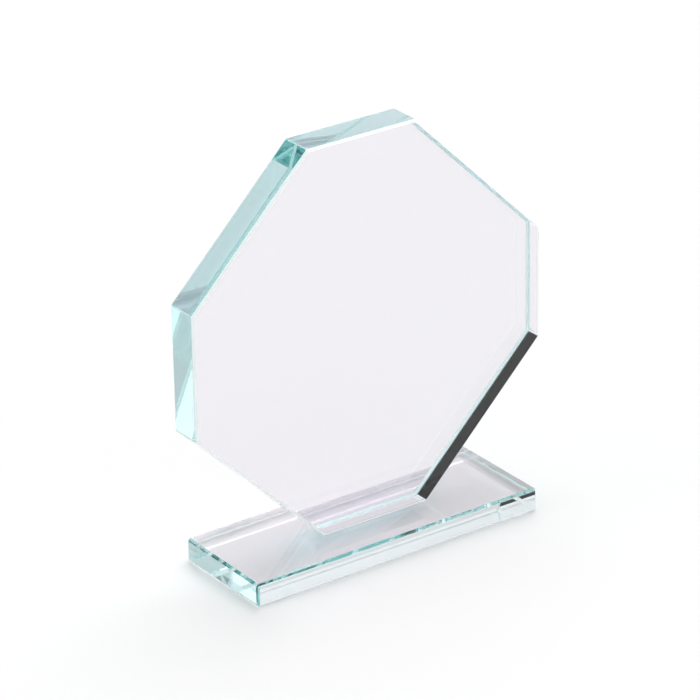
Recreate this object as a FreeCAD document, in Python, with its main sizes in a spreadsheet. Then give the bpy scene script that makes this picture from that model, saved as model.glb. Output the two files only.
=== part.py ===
"""Octagonal glass award: a thick glass plaque bonded upright on a glass slab base.

Millimetres, +Z up.  The origin is the middle of the base's underside, the front of the
award faces -Y and its width runs along X.
"""
import FreeCAD, Part
import Sketcher
import os

# Driving dimensions: alias, millimetres, what it is.
DIMENSIONS = (
    ("plaque_width", 160, "across the left and right flats"),
    ("plaque_height", 160, "across the top and bottom flats"),
    ("plaque_thickness", 15, "thickness of the plaque glass"),
    ("cut_top_left", 52.5, "corner cut back this far along both sides, seen from the front"),
    ("cut_top_right", 58.5, "the same at the top right corner"),
    ("cut_bottom_right", 55, "the same at the bottom right corner"),
    ("cut_bottom_left", 56.5, "the same at the bottom left corner"),
    ("plaque_bevel", 1, "bevel round the front and back faces"),
    ("plaque_arris", 0.3, "dulled edge where two side walls meet"),
    ("base_length", 132, "base along X"),
    ("base_depth", 48, "base along Y"),
    ("base_thickness", 10, "thickness of the base glass"),
    ("base_bevel", 1, "bevel on every edge of the base"),
    ("bond_thickness", 0.1, "cured adhesive between plaque and base"),
)

HORIZONTAL_AXIS = -1      # as Sketcher constraints name it
LINE_START = 1
LINE_END = 2
ORIGIN = (HORIZONTAL_AXIS, LINE_START)
PARALLEL = 1e-6           # two unit directions are parallel below this cross product


def add_dimensions(doc):
    """Keep every driving dimension in one spreadsheet, under its alias."""
    sheet = doc.addObject("Spreadsheet::Sheet", "Dimensions")
    for row, (alias, value, meaning) in enumerate(DIMENSIONS, start=1):
        sheet.set(f"A{row}", alias)
        sheet.set(f"B{row}", str(value))
        sheet.set(f"C{row}", meaning)
        sheet.setAlias(f"B{row}", alias)
    doc.recompute()
    return sheet


def add_body(doc, name, height_above_floor):
    """A body whose own origin sits at the given height, which is an expression."""
    body = doc.addObject("PartDesign::Body", name)
    body.Label = name
    body.setExpression("Placement.Base.z", height_above_floor)
    return body


def add_sketch(body, name, plane_role):
    """An empty sketch on one of the body's own origin planes."""
    sketch = body.newObject("Sketcher::SketchObject", name)
    plane = next(item for item in body.Origin.OriginFeatures if item.Role == plane_role)
    sketch.AttachmentSupport = (plane, [""])
    sketch.MapMode = "FlatFace"
    return sketch


def add_loop(sketch, corners):
    """Draw straight lines through the corners and join them into a closed loop."""
    count = len(corners)
    points = [FreeCAD.Vector(x, y, 0) for x, y in corners]
    for index in range(count):
        sketch.addGeometry(Part.LineSegment(points[index], points[(index + 1) % count]), False)
    for index in range(count):
        following = (index + 1) % count
        sketch.addConstraint(
            Sketcher.Constraint("Coincident", index, LINE_END, following, LINE_START))


def constrain(sketch, kind, references, formula):
    """Add one driving dimension and bind it to a formula on the spreadsheet."""
    value = float(sketch.evalExpression(formula))
    index = sketch.addConstraint(Sketcher.Constraint(kind, *references, value))
    sketch.setExpression(f"Constraints[{index}]", formula)


def add_rectangle(sketch, length, depth):
    """A rectangle centred on the sketch origin, its two sides given as formulas."""
    half_x = sketch.evalExpression(length) / 2
    half_y = sketch.evalExpression(depth) / 2
    add_loop(sketch, ((-half_x, -half_y), (half_x, -half_y), (half_x, half_y), (-half_x, half_y)))
    for line in (0, 2):
        sketch.addConstraint(Sketcher.Constraint("Horizontal", line))
    for line in (1, 3):
        sketch.addConstraint(Sketcher.Constraint("Vertical", line))
    sketch.addConstraint(
        Sketcher.Constraint("Symmetric", 0, LINE_START, 2, LINE_START, *ORIGIN))
    constrain(sketch, "DistanceX", (0, LINE_START, 0, LINE_END), length)
    constrain(sketch, "DistanceY", (1, LINE_START, 1, LINE_END), depth)


def add_octagon(sketch, width, height, cuts):
    """An octagon standing on the sketch origin: a rectangle with its corners cut at 45 degrees.

    The cuts are formulas for the bottom right, top right, top left and bottom left corners.
    The loop starts at the right end of the bottom flat and runs anticlockwise, so the lines
    are: corner, right, corner, top, corner, left, corner, bottom.
    """
    right, top, left, bottom = 1, 3, 5, 7
    side = sketch.evalExpression(width) / 2
    roof = sketch.evalExpression(height)
    low_right, high_right, high_left, low_left = (sketch.evalExpression(cut) for cut in cuts)
    add_loop(sketch, (
        (side - low_right, 0), (side, low_right), (side, roof - high_right), (side - high_right, roof),
        (high_left - side, roof), (-side, roof - high_left), (-side, low_left), (low_left - side, 0)))
    for line in (top, bottom):
        sketch.addConstraint(Sketcher.Constraint("Horizontal", line))
    for line in (left, right):
        sketch.addConstraint(Sketcher.Constraint("Vertical", line))
    sketch.addConstraint(
        Sketcher.Constraint("PointOnObject", bottom, LINE_START, HORIZONTAL_AXIS))
    constrain(sketch, "DistanceX", (*ORIGIN, right, LINE_START), f"({width}) / 2")
    constrain(sketch, "DistanceX", (left, LINE_START, *ORIGIN), f"({width}) / 2")
    constrain(sketch, "DistanceY", (bottom, LINE_END, top, LINE_START), height)
    start_to_end = (LINE_START, LINE_END)
    end_to_start = (LINE_END, LINE_START)
    rising_x = (start_to_end, end_to_start, end_to_start, start_to_end)
    rising_y = (start_to_end, start_to_end, end_to_start, end_to_start)
    for number, cut in enumerate(cuts):
        corner = 2 * number
        for kind, (low, high) in (("DistanceX", rising_x[number]), ("DistanceY", rising_y[number])):
            constrain(sketch, kind, (corner, low, corner, high), cut)


def edges_along(shape, direction):
    """Names of the straight edges that run along a direction."""
    names = []
    for number, edge in enumerate(shape.Edges, start=1):
        if edge.tangentAt(edge.FirstParameter).cross(direction).Length < PARALLEL:
            names.append(f"Edge{number}")
    return names


def faces_facing(shape, direction):
    """Names of the flat faces whose normal is along a direction, either way."""
    names = []
    for number, face in enumerate(shape.Faces, start=1):
        if face.normalAt(0, 0).cross(direction).Length < PARALLEL:
            names.append(f"Face{number}")
    return names


def add_chamfer(body, name, base, references, size):
    """Chamfer the named edges, or every edge of the named faces, of the body's last feature."""
    chamfer = body.newObject("PartDesign::Chamfer", name)
    chamfer.Base = (base, references)
    chamfer.setExpression("Size", size)
    return chamfer


def make_plaque(doc):
    """The octagonal plaque: bevelled round both faces, its wall-to-wall edges just dulled."""
    body = add_body(doc, "glass_plaque", "Dimensions.base_thickness + Dimensions.bond_thickness")
    outline = add_sketch(body, "PlaqueOutline", "XZ_Plane")
    add_octagon(outline, "Dimensions.plaque_width", "Dimensions.plaque_height",
                ("Dimensions.cut_bottom_right", "Dimensions.cut_top_right",
                 "Dimensions.cut_top_left", "Dimensions.cut_bottom_left"))
    slab = body.newObject("PartDesign::Pad", "PlaqueSlab")
    slab.Profile = outline
    slab.SideType = "Symmetric"
    slab.setExpression("Length", "Dimensions.plaque_thickness")
    doc.recompute()
    through = FreeCAD.Vector(0, 1, 0)
    arris = add_chamfer(body, "PlaqueArris", slab, edges_along(slab.Shape, through),
                        "Dimensions.plaque_arris")
    doc.recompute()
    add_chamfer(body, "PlaqueBevel", arris, faces_facing(arris.Shape, through),
                "Dimensions.plaque_bevel")
    return body


def make_base(doc):
    """The base slab, bevelled on all twelve edges."""
    body = add_body(doc, "glass_base", "0 mm")
    outline = add_sketch(body, "BaseOutline", "XY_Plane")
    add_rectangle(outline, "Dimensions.base_length", "Dimensions.base_depth")
    slab = body.newObject("PartDesign::Pad", "BaseSlab")
    slab.Profile = outline
    slab.setExpression("Length", "Dimensions.base_thickness")
    doc.recompute()
    every_edge = [f"Edge{number + 1}" for number in range(len(slab.Shape.Edges))]
    add_chamfer(body, "BaseBevel", slab, every_edge, "Dimensions.base_bevel")
    return body


def make_bond(doc):
    """The film of cured adhesive that fills the flat contact between plaque and base."""
    body = add_body(doc, "adhesive_bond", "Dimensions.base_thickness")
    body.setExpression("Placement.Base.x",
                       "(Dimensions.cut_bottom_left - Dimensions.cut_bottom_right) / 2")
    outline = add_sketch(body, "BondOutline", "XY_Plane")
    add_rectangle(
        outline,
        "Dimensions.plaque_width - Dimensions.cut_bottom_left - Dimensions.cut_bottom_right"
        " - 2 * Dimensions.plaque_arris",
        "Dimensions.plaque_thickness - 2 * Dimensions.plaque_bevel")
    film = body.newObject("PartDesign::Pad", "BondFilm")
    film.Profile = outline
    film.setExpression("Length", "Dimensions.bond_thickness")
    return body


def check_objects(doc):
    """Stop on any object that failed, or any sketch that is not fully constrained."""
    for item in doc.Objects:
        if "Invalid" in item.State or "Error" in item.State:
            raise RuntimeError(f"{item.Name} failed: {item.State}")
        if item.TypeId == "Sketcher::SketchObject" and not item.FullyConstrained:
            raise RuntimeError(f"{item.Name} is not fully constrained")


def check_shape(body):
    """Stop unless the body is one valid solid."""
    shape = body.Shape
    if shape.isNull() or not shape.isValid() or len(shape.Solids) != 1:
        raise RuntimeError(f"{body.Label} is not one valid solid")


def main():
    doc = FreeCAD.newDocument("GlassAward")
    add_dimensions(doc)
    bodies = (make_base(doc), make_bond(doc), make_plaque(doc))
    doc.recompute()
    check_objects(doc)
    for body in bodies:
        check_shape(body)
    os.makedirs("parts", exist_ok=True)
    for body in bodies:
        body.Shape.exportStep(f"parts/{body.Label}.step")
        box = body.Shape.BoundBox
        print(f"{body.Label}: {box.XLength:.2f} x {box.YLength:.2f} x {box.ZLength:.2f} mm,",
              f"z {box.ZMin:.2f} to {box.ZMax:.2f}, volume {body.Shape.Volume:.1f} mm3,",
              f"{len(body.Shape.Faces)} faces")


main()
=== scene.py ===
import math
from collections import namedtuple

import bmesh
import bpy
from mathutils import Matrix, Vector


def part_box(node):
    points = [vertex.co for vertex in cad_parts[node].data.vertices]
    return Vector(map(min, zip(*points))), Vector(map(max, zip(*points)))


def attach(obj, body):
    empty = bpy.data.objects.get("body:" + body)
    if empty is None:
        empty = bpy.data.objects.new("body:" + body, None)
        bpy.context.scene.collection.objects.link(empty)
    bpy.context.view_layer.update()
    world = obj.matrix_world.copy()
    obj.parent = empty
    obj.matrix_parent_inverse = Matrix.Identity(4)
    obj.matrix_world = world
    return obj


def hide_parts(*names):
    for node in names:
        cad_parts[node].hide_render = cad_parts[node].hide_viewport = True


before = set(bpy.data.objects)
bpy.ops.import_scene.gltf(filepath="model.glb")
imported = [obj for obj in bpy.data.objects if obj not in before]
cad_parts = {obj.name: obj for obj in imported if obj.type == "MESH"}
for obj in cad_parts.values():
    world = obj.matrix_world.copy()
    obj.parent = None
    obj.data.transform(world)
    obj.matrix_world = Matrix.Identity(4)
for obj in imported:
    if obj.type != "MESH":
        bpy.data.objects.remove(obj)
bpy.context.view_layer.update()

MM = 0.001

# Camera: where it stands round the award, in metres, and its lens, in millimetres.
CAMERA_AZIMUTH = math.radians(35.08)       # to the left of the award's front
CAMERA_ELEVATION = math.radians(25.06)
CAMERA_ROLL = math.radians(-1.02)
CAMERA_DISTANCE = 1.5357
CAMERA_TARGET = Vector((-0.0051, 0.0, 0.0806))
CAMERA_CLIP = (0.01, 50.0)
SENSOR_WIDTH = 36.0
LENS = 209.2

# Glass. The surface tint and the depth tint together give a clear face and teal edges. The lavender in
# the plaque's and base's surface tints is painted light: it stands in for the pinkish light seen through
# the glass.
GLASS_IOR = 1.52
PLAQUE_TINT_AND_LIGHT_CAST = (0.91, 0.865, 0.91, 1)      # surface tint, with a painted lavender light cast
# the base's surface tint carries the same painted lavender light cast
BASE_TINT_AND_LIGHT_CAST = (0.92, 0.88, 0.905, 1)
RESIN_COLOR = (0.99, 0.99, 0.99, 1)
DEPTH_COLOR = (0.0, 0.76, 0.71, 1)         # depth tint: red is absorbed first
DEPTH_DENSITY = 2.5                        # per metre

# Ground bevels
GROUND_COLOR = (0.96, 0.96, 0.96, 1)
GROUND_ROUGHNESS = 0.5
GROUND_GRAIN = (0.7, 1.3)                  # how the roughness varies, as a factor
GROUND_CLEARNESS = 0.42                    # the share of light that goes through

# Surface detail, as noise cycles per metre along X, Y and Z, and heights in metres.
NOISE_DETAIL = 2.0
GRAIN_CYCLES = (900, 900, 900)
WAVE_CYCLES = (22, 22, 22)                 # the slow unevenness of float glass
WAVE_HEIGHT = 0.004 * MM
PLAQUE_LINES = (12, 1400, 12)              # polishing lines run round the plaque's edge walls
BASE_LINES = (12, 12, 1400)                # and lengthwise along the base's
LINE_HEIGHT = 0.0004 * MM
FILM_CYCLES = (260, 260, 30)
FILM_HEIGHT = 0.002 * MM

# Shapes
WELD_DISTANCE = 0.001 * MM
FLAT_ANGLE = math.radians(0.5)             # faces that meet flatter than this are one face
ARRIS_RADIUS = 0.08 * MM
ARRIS_SEGMENTS = 2
ARRIS_PROFILE = 0.5                        # round
FILM_ROUNDING = 0.01 * MM
FILM_OVERLAP = 0.02 * MM                   # into each glass, so that no two faces coincide
Y_AXIS = 1
Z_AXIS = 2
WALL_LEAN = 0.1                            # a wall's normal has less than this along the broad axis
GROUND_LEAN = (0.5, 0.9)                   # and a ground bevel's has between these

# Studio
FLOOR_GAP = 0.05 * MM
FLOOR_SIZE = 12.0
FLOOR_COLOR = (0.682, 0.682, 0.682, 1)
FLOOR_ROUGHNESS = 0.9
WHITE = (1, 1, 1, 1)
ROOM_LIGHT = 1.05
LEAST_AHEAD = 0.001                        # so that directions beside or behind a card miss it

# A card faces the award. Angles are in degrees, and the soft edge is a share of its half size.
# Each card covers the ones before it.
Card = namedtuple("Card", "name azimuth elevation half_width half_height softness light")
CARDS = (
    Card("overhead_softbox", 50, 61, 24, 24, 0.3, 3.5),
    Card("left_softbox", -78, 48, 18, 18, 0.3, 1.6),
    Card("front_gloom", 180, 0, 68, 17, 0.2, 0.55),
    Card("white_backdrop", 34, 6, 45, 28, 0.15, 0.8),
    Card("back_flag", -33, 31, 12, 13, 0.15, 0.0),
    Card("second_flag", -10, 41, 9, 7, 0.3, 0.0),
    Card("key_softbox", 150, 24, 12, 18, 0.2, 1.5),
    Card("camera_side", -146, 27, 9, 8, 0.3, 0.5),
    Card("front_softbox", -178, 52, 14, 10, 0.3, 1.5),
)

# Light paths: glass corners bounce light many times before it gets out.
MAX_BOUNCES = 96
GLOSSY_BOUNCES = 80
TRANSMISSION_BOUNCES = 48
DIFFUSE_BOUNCES = 4

# The Mix node's sockets, by number: factor, inputs A and B, and the result, for each data type.
MixSockets = namedtuple("MixSockets", "factor a b result")
MIX_FLOAT = MixSockets(0, 2, 3, 0)
MIX_COLOR = MixSockets(0, 6, 7, 2)


def direction(azimuth, elevation):
    """The unit vector at an azimuth from +Y towards +X, and an elevation."""
    flat = math.cos(elevation)
    return Vector((math.sin(azimuth) * flat, math.cos(azimuth) * flat, math.sin(elevation)))


def add_camera():
    """The camera looks at its target from the left front and above, with a long lens."""
    forward = direction(CAMERA_AZIMUTH, -CAMERA_ELEVATION)
    data = bpy.data.cameras.new("camera")
    data.lens = LENS
    data.sensor_width = SENSOR_WIDTH
    data.clip_start, data.clip_end = CAMERA_CLIP
    camera = bpy.data.objects.new("camera", data)
    turn = forward.to_track_quat("-Z", "Y").to_matrix().to_4x4()
    roll = Matrix.Rotation(CAMERA_ROLL, 4, "Z")
    camera.matrix_world = Matrix.Translation(CAMERA_TARGET - forward * CAMERA_DISTANCE) @ turn @ roll
    bpy.context.scene.collection.objects.link(camera)
    bpy.context.scene.camera = camera


def add_floor():
    """A plain pale floor, a hair under the base so that the two don't coincide."""
    bpy.ops.mesh.primitive_plane_add(size=FLOOR_SIZE, location=(0, 0, -FLOOR_GAP))
    floor = bpy.context.object
    floor.name = "floor"
    material = bpy.data.materials.new("floor")
    material.use_nodes = True
    shader = material.node_tree.nodes["Principled BSDF"]
    shader.inputs["Base Color"].default_value = FLOOR_COLOR
    shader.inputs["Roughness"].default_value = FLOOR_ROUGHNESS
    shader.inputs["Specular IOR Level"].default_value = 0.0
    floor.data.materials.append(material)


def feed(links, socket, value):
    """Set a socket to a number, or link another socket to it."""
    if isinstance(value, bpy.types.NodeSocket):
        links.new(value, socket)
    else:
        socket.default_value = value


def arithmetic(nodes, links, operation, *values):
    """A math node on numbers and sockets, as a socket."""
    node = nodes.new("ShaderNodeMath")
    node.operation = operation
    for socket, value in zip(node.inputs, values):
        feed(links, socket, value)
    return node.outputs["Value"]


def reach(nodes, links, vector, axis):
    """How far a vector reaches along an axis, as a socket."""
    node = nodes.new("ShaderNodeVectorMath")
    node.operation = "DOT_PRODUCT"
    node.inputs[1].default_value = axis
    links.new(vector, node.inputs[0])
    return node.outputs["Value"]


def card_mask(nodes, links, coords, card):
    """A socket that is 1 on a rectangular card, and 0 round it."""
    toward = direction(math.radians(card.azimuth), math.radians(card.elevation))
    side = direction(math.radians(card.azimuth + 90), 0)
    up = side.cross(toward)
    ahead = arithmetic(nodes, links, "MAXIMUM", reach(nodes, links, coords, toward), LEAST_AHEAD)
    shares = []
    for axis, half_size in ((side, card.half_width), (up, card.half_height)):
        offset = arithmetic(nodes, links, "ABSOLUTE", reach(nodes, links, coords, axis))
        slope = arithmetic(nodes, links, "DIVIDE", offset, ahead)
        shares.append(arithmetic(nodes, links, "DIVIDE", slope, math.tan(math.radians(half_size))))
    edge = nodes.new("ShaderNodeMapRange")
    edge.interpolation_type = "SMOOTHSTEP"
    edge.inputs["From Min"].default_value = 1.0 + card.softness / 2
    edge.inputs["From Max"].default_value = 1.0 - card.softness / 2
    links.new(arithmetic(nodes, links, "MAXIMUM", *shares), edge.inputs["Value"])
    return edge.outputs["Result"]


def card_light(nodes, links):
    """The light from each direction: the room, covered by one card after another."""
    coords = nodes.new("ShaderNodeTexCoord").outputs["Generated"]
    level = ROOM_LIGHT
    for card in CARDS:
        mix = nodes.new("ShaderNodeMix")
        mix.label = card.name
        feed(links, mix.inputs[MIX_FLOAT.factor], card_mask(nodes, links, coords, card))
        feed(links, mix.inputs[MIX_FLOAT.a], level)
        feed(links, mix.inputs[MIX_FLOAT.b], card.light)
        level = mix.outputs[MIX_FLOAT.result]
    return level


def add_world():
    """A studio of cards lights the award, and the camera sees plain white past the floor."""
    world = bpy.data.worlds.new("studio")
    bpy.context.scene.world = world
    world.use_nodes = True
    nodes = world.node_tree.nodes
    links = world.node_tree.links
    light = nodes["Background"]
    light.inputs["Color"].default_value = WHITE
    links.new(card_light(nodes, links), light.inputs["Strength"])
    backdrop = nodes.new("ShaderNodeBackground")
    backdrop.inputs["Color"].default_value = WHITE
    path = nodes.new("ShaderNodeLightPath")
    seen = nodes.new("ShaderNodeMixShader")
    links.new(path.outputs["Is Camera Ray"], seen.inputs[0])
    links.new(light.outputs["Background"], seen.inputs[1])
    links.new(backdrop.outputs["Background"], seen.inputs[2])
    links.new(seen.outputs["Shader"], nodes["World Output"].inputs["Surface"])


def noise(nodes, links, cycles):
    """A noise field with its own number of cycles per metre along each axis."""
    coords = nodes.new("ShaderNodeTexCoord")
    stretch = nodes.new("ShaderNodeMapping")
    stretch.inputs["Scale"].default_value = cycles
    links.new(coords.outputs["Object"], stretch.inputs["Vector"])
    field = nodes.new("ShaderNodeTexNoise")
    field.inputs["Scale"].default_value = 1.0
    field.inputs["Detail"].default_value = NOISE_DETAIL
    links.new(stretch.outputs["Vector"], field.inputs["Vector"])
    return field.outputs["Fac"]


def relief(nodes, links, cycles, height, where=None, under=None):
    """A bump of the given height in metres, over the whole surface or one zone of it."""
    bump = nodes.new("ShaderNodeBump")
    bump.inputs["Distance"].default_value = height
    links.new(noise(nodes, links, cycles), bump.inputs["Height"])
    if where:
        links.new(where, bump.inputs["Strength"])
    if under:
        links.new(under, bump.inputs["Normal"])
    return bump.outputs["Normal"]


def zone(nodes, attribute):
    """A socket that is 1 on the faces that mark_zones marked with the attribute, and 0 elsewhere."""
    node = nodes.new("ShaderNodeAttribute")
    node.attribute_name = attribute
    return node.outputs["Fac"]


def grind_bevels(nodes, links, shader, color):
    """Make the ground zone milky and rough, with a grain, and leave the rest polished."""
    ground = zone(nodes, "ground")
    tint = nodes.new("ShaderNodeMix")
    tint.data_type = "RGBA"
    links.new(ground, tint.inputs[MIX_COLOR.factor])
    tint.inputs[MIX_COLOR.a].default_value = color
    tint.inputs[MIX_COLOR.b].default_value = GROUND_COLOR
    links.new(tint.outputs[MIX_COLOR.result], shader.inputs["Base Color"])
    grain = nodes.new("ShaderNodeMapRange")
    links.new(noise(nodes, links, GRAIN_CYCLES), grain.inputs["Value"])
    grain.inputs["To Min"].default_value = GROUND_ROUGHNESS * GROUND_GRAIN[0]
    grain.inputs["To Max"].default_value = GROUND_ROUGHNESS * GROUND_GRAIN[1]
    rough = arithmetic(nodes, links, "MULTIPLY", ground, grain.outputs["Result"])
    links.new(rough, shader.inputs["Roughness"])
    clear = nodes.new("ShaderNodeMapRange")
    links.new(ground, clear.inputs["Value"])
    clear.inputs["To Min"].default_value = 1.0
    clear.inputs["To Max"].default_value = GROUND_CLEARNESS
    links.new(clear.outputs["Result"], shader.inputs["Transmission Weight"])


def glass(name, color, wave, lines=None, ground=False):
    """Tinted clear glass: polished and uneven, with lined walls and ground bevels if asked for."""
    material = bpy.data.materials.new(name)
    material.use_nodes = True
    nodes = material.node_tree.nodes
    links = material.node_tree.links
    shader = nodes["Principled BSDF"]
    shader.inputs["IOR"].default_value = GLASS_IOR
    shader.inputs["Base Color"].default_value = color
    shader.inputs["Roughness"].default_value = 0.0
    shader.inputs["Transmission Weight"].default_value = 1.0
    if ground:
        grind_bevels(nodes, links, shader, color)
    surface = relief(nodes, links, *wave)
    if lines:
        surface = relief(nodes, links, lines, LINE_HEIGHT, where=zone(nodes, "wall"), under=surface)
    links.new(surface, shader.inputs["Normal"])
    volume = nodes.new("ShaderNodeVolumeAbsorption")
    volume.inputs["Color"].default_value = DEPTH_COLOR
    volume.inputs["Density"].default_value = DEPTH_DENSITY
    links.new(volume.outputs["Volume"], nodes["Material Output"].inputs["Volume"])
    return material


def mark_zones(work, broad_axis, ground):
    """Mark the edge walls, which stand square to the broad faces, and the ground bevels."""
    wall_layer = work.faces.layers.float.new("wall")
    ground_layer = work.faces.layers.float.new("ground")
    for face in work.faces:
        lean = abs(face.normal[broad_axis])
        face[wall_layer] = float(lean < WALL_LEAN)
        face[ground_layer] = float(ground and GROUND_LEAN[0] < lean < GROUND_LEAN[1])


def corner_normals(work, arrises):
    """Flat faces keep their own normal, and the roundings blend from one flat face to the next."""
    normals = []
    for face in work.faces:
        for vertex in face.verts:
            flat = [near.normal for near in vertex.link_faces if near not in arrises]
            if face not in arrises:
                normals.append(face.normal.copy())
            elif len(flat) == 1:
                normals.append(flat[0].copy())
            else:
                normals.append(vertex.normal.copy())
    return normals


def cad_copy(node, name, radius, broad_axis, ground=False):
    """A CAD node's shape with its flat faces made whole, and every edge rounded by a hair."""
    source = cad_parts[node]
    work = bmesh.new()
    work.from_mesh(source.data)
    bmesh.ops.transform(work, matrix=source.matrix_world, verts=work.verts)
    bmesh.ops.remove_doubles(work, verts=work.verts, dist=WELD_DISTANCE)
    bmesh.ops.dissolve_limit(work, angle_limit=FLAT_ANGLE, verts=work.verts, edges=work.edges)
    rounded = bmesh.ops.bevel(work, geom=work.edges[:], offset=radius, segments=ARRIS_SEGMENTS,
                              profile=ARRIS_PROFILE, affect="EDGES", clamp_overlap=True)
    work.normal_update()
    normals = corner_normals(work, set(rounded["faces"]))
    mark_zones(work, broad_axis, ground)
    mesh = bpy.data.meshes.new(name)
    work.to_mesh(mesh)
    work.free()
    mesh.shade_smooth()
    mesh.normals_split_custom_set(normals)
    piece = bpy.data.objects.new(name, mesh)
    bpy.context.scene.collection.objects.link(piece)
    return piece


def finish_piece(piece, node, material):
    """Give a piece its material, put it under the root body, and hide the CAD node that it stands in
    for.
    """
    piece.data.materials.append(material)
    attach(piece, "root")
    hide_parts(node)


def make_plaque():
    """The octagonal plate, with ground bevels round both of its broad faces."""
    piece = cad_copy("glass_plaque", "plaque", ARRIS_RADIUS, Y_AXIS, ground=True)
    material = glass("plaque_glass", PLAQUE_TINT_AND_LIGHT_CAST, (WAVE_CYCLES, WAVE_HEIGHT), PLAQUE_LINES, ground=True)
    finish_piece(piece, "glass_plaque", material)


def make_base():
    """The slab that the plaque stands on, polished all over."""
    piece = cad_copy("glass_base", "base", ARRIS_RADIUS, Z_AXIS)
    material = glass("base_glass", BASE_TINT_AND_LIGHT_CAST, (WAVE_CYCLES, WAVE_HEIGHT), BASE_LINES)
    finish_piece(piece, "glass_base", material)


def make_bond():
    """The adhesive film, which reaches a hair into the plaque and into the base."""
    piece = cad_copy("adhesive_bond", "bond", FILM_ROUNDING, Z_AXIS)
    low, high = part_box("adhesive_bond")
    middle = (low[Z_AXIS] + high[Z_AXIS]) / 2
    for vertex in piece.data.vertices:
        vertex.co.z += FILM_OVERLAP if vertex.co.z > middle else -FILM_OVERLAP
    material = glass("bond_resin", RESIN_COLOR, (FILM_CYCLES, FILM_HEIGHT))
    finish_piece(piece, "adhesive_bond", material)


def set_light_paths(scene):
    """Let light bounce often enough to leave the glass, without blurring it on the way."""
    scene.view_settings.view_transform = "Standard"
    scene.cycles.max_bounces = MAX_BOUNCES
    scene.cycles.glossy_bounces = GLOSSY_BOUNCES
    scene.cycles.transmission_bounces = TRANSMISSION_BOUNCES
    scene.cycles.diffuse_bounces = DIFFUSE_BOUNCES
    scene.cycles.blur_glossy = 0.0


set_light_paths(bpy.context.scene)
add_camera()
add_floor()
add_world()
make_plaque()
make_base()
make_bond()
